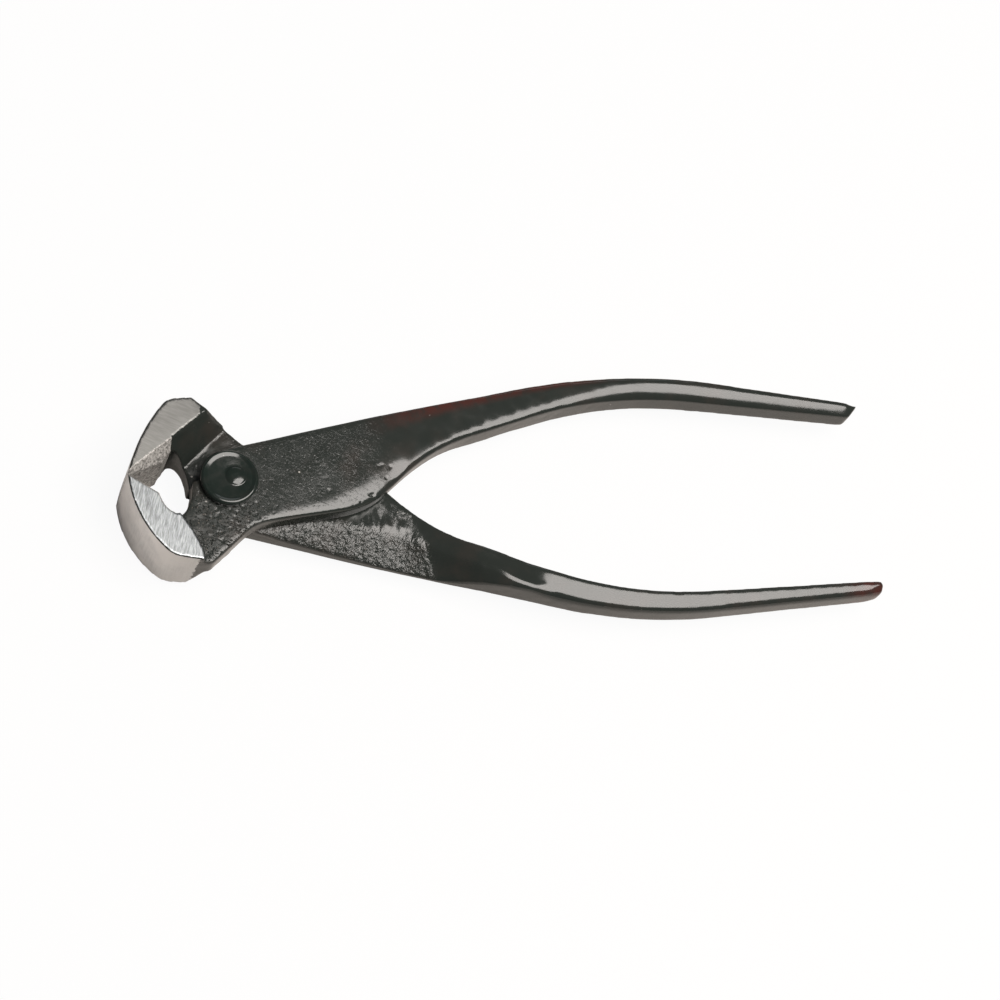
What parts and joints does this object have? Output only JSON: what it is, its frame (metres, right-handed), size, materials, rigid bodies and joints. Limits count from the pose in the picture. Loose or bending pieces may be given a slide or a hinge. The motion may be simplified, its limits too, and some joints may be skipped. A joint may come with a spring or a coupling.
{
  "type": "end-cutting nippers",
  "caption": "Forged steel end-cutting nippers with crossed lap-jointed levers, bowed handles and ground jaws on a round-headed rivet; used to grip, pull and cut fence wire and staples.",
  "frame": {"origin": "on the pivot axis, at the flat underside of the joint", "axes": "+X runs back along the closed handles, the jaws point to -X, +Z is the rivet axis towards its round head"},
  "size_m": [0.2189, 0.0719, 0.024],
  "materials": {
    "black_lacquer": "glossy black lacquer over rough forging scale",
    "rivet_lacquer": "glossy black lacquer",
    "ground_steel": "bare steel, coarse ground"
  },
  "bodies": {
    "fixed_side": {"lower_lever": "black_lacquer", "pivot_rivet": "rivet_lacquer"},
    "moving_side": {"upper_lever": "black_lacquer"}
  },
  "joints": [
    {"name": "jaw_pivot", "type": "hinge", "parent": "fixed_side", "child": "moving_side", "pos_m": [0, 0, 0.007], "axis": [0, 0, 1], "range_deg": [0, 38]}
  ]
}
